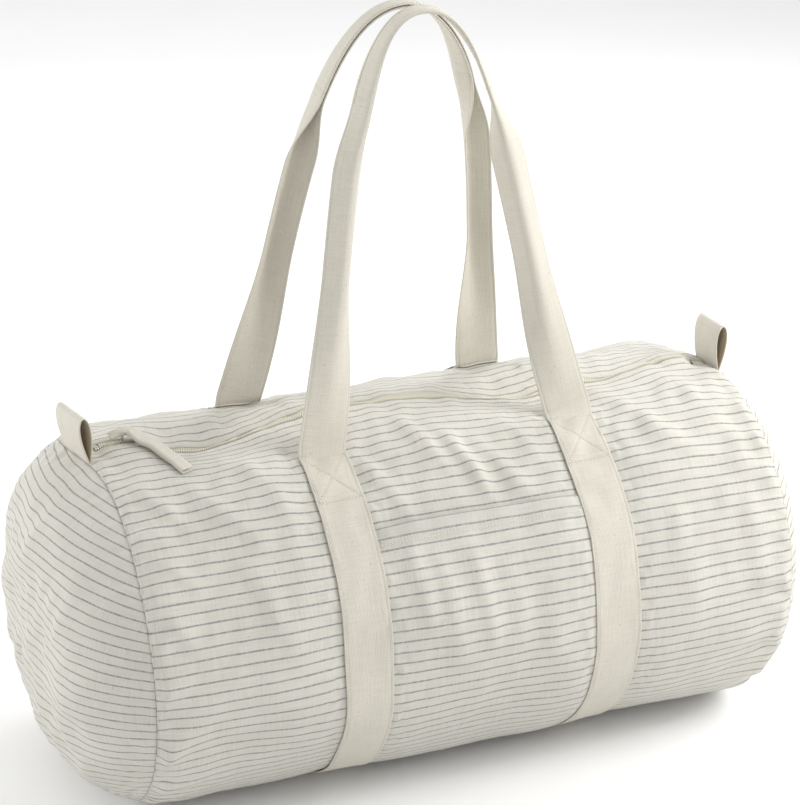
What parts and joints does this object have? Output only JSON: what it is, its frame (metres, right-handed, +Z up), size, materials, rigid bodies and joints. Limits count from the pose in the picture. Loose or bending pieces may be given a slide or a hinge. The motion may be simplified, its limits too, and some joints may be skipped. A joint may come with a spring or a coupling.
{
  "type": "barrel bag",
  "caption": "Soft striped cotton barrel bag with domed ends, top zip, front patch pocket, strap bands and two long carrying handles.",
  "frame": {"origin": "on the ground, under the middle of the bag's bounding box", "axes": "+X along the bag's length towards the open end of the zip's travel, -Y to the front with the pocket, +Z up"},
  "size_m": [0.6136, 0.3246, 0.5961],
  "materials": {
    "striped_canvas": "matt natural cotton canvas with thin woven blue-grey stripes",
    "strap_canvas": "matt natural cotton twill with small flecks",
    "zip_tape": "matt woven tape",
    "zip_coil": "semi-matt nylon coil",
    "zip_metal": "worn nickel plating",
    "binding_tape": "matt cotton tape"
  },
  "bodies": {
    "root": {"barrel_panel": "striped_canvas", "left_end_panel": "striped_canvas", "right_end_panel": "striped_canvas", "front_pocket": "striped_canvas", "left_band": "strap_canvas", "right_band": "strap_canvas", "front_zip_tape": "zip_tape", "back_zip_tape": "zip_tape", "front_zip_coil": "zip_coil", "back_zip_coil": "zip_coil", "left_zip_stop": "zip_metal", "right_zip_stop": "zip_metal", "left_seam_binding": "binding_tape", "right_seam_binding": "binding_tape"},
    "front_handle": {"front_handle": "strap_canvas"},
    "back_handle": {"back_handle": "strap_canvas"},
    "slider": {"zip_slider": "zip_metal", "slider_bridge": "zip_metal"},
    "puller": {"zip_puller": "strap_canvas"},
    "left_loop": {"left_end_loop": "strap_canvas"},
    "right_loop": {"right_end_loop": "strap_canvas"}
  },
  "joints": [
    {"name": "front_handle_swing", "type": "hinge", "parent": "root", "child": "front_handle", "pos_m": [0, -0.05586, 0.27661], "axis": [1, 0, 0], "range_deg": [0, 110]},
    {"name": "back_handle_swing", "type": "hinge", "parent": "root", "child": "back_handle", "pos_m": [0, 0.05586, 0.27661], "axis": [-1, 0, 0], "range_deg": [0, 110]},
    {"name": "zip_slide", "type": "slide", "parent": "root", "child": "slider", "axis": [1, 0, 0], "range_m": [0, 0.457]},
    {"name": "pull_flip", "type": "hinge", "parent": "slider", "child": "puller", "pos_m": [-0.232, 0, 0.2874], "axis": [-0.809, -0.5878, 0], "range_deg": [0, 120]},
    {"name": "left_loop_flop", "type": "hinge", "parent": "root", "child": "left_loop", "pos_m": [-0.26, 0, 0.2842], "axis": [0, 1, 0], "range_deg": [-45, 45], "stiffness_Nm_per_rad": 0.02},
    {"name": "right_loop_flop", "type": "hinge", "parent": "root", "child": "right_loop", "pos_m": [0.26, 0, 0.2842], "axis": [0, 1, 0], "range_deg": [-45, 45], "stiffness_Nm_per_rad": 0.02}
  ]
}
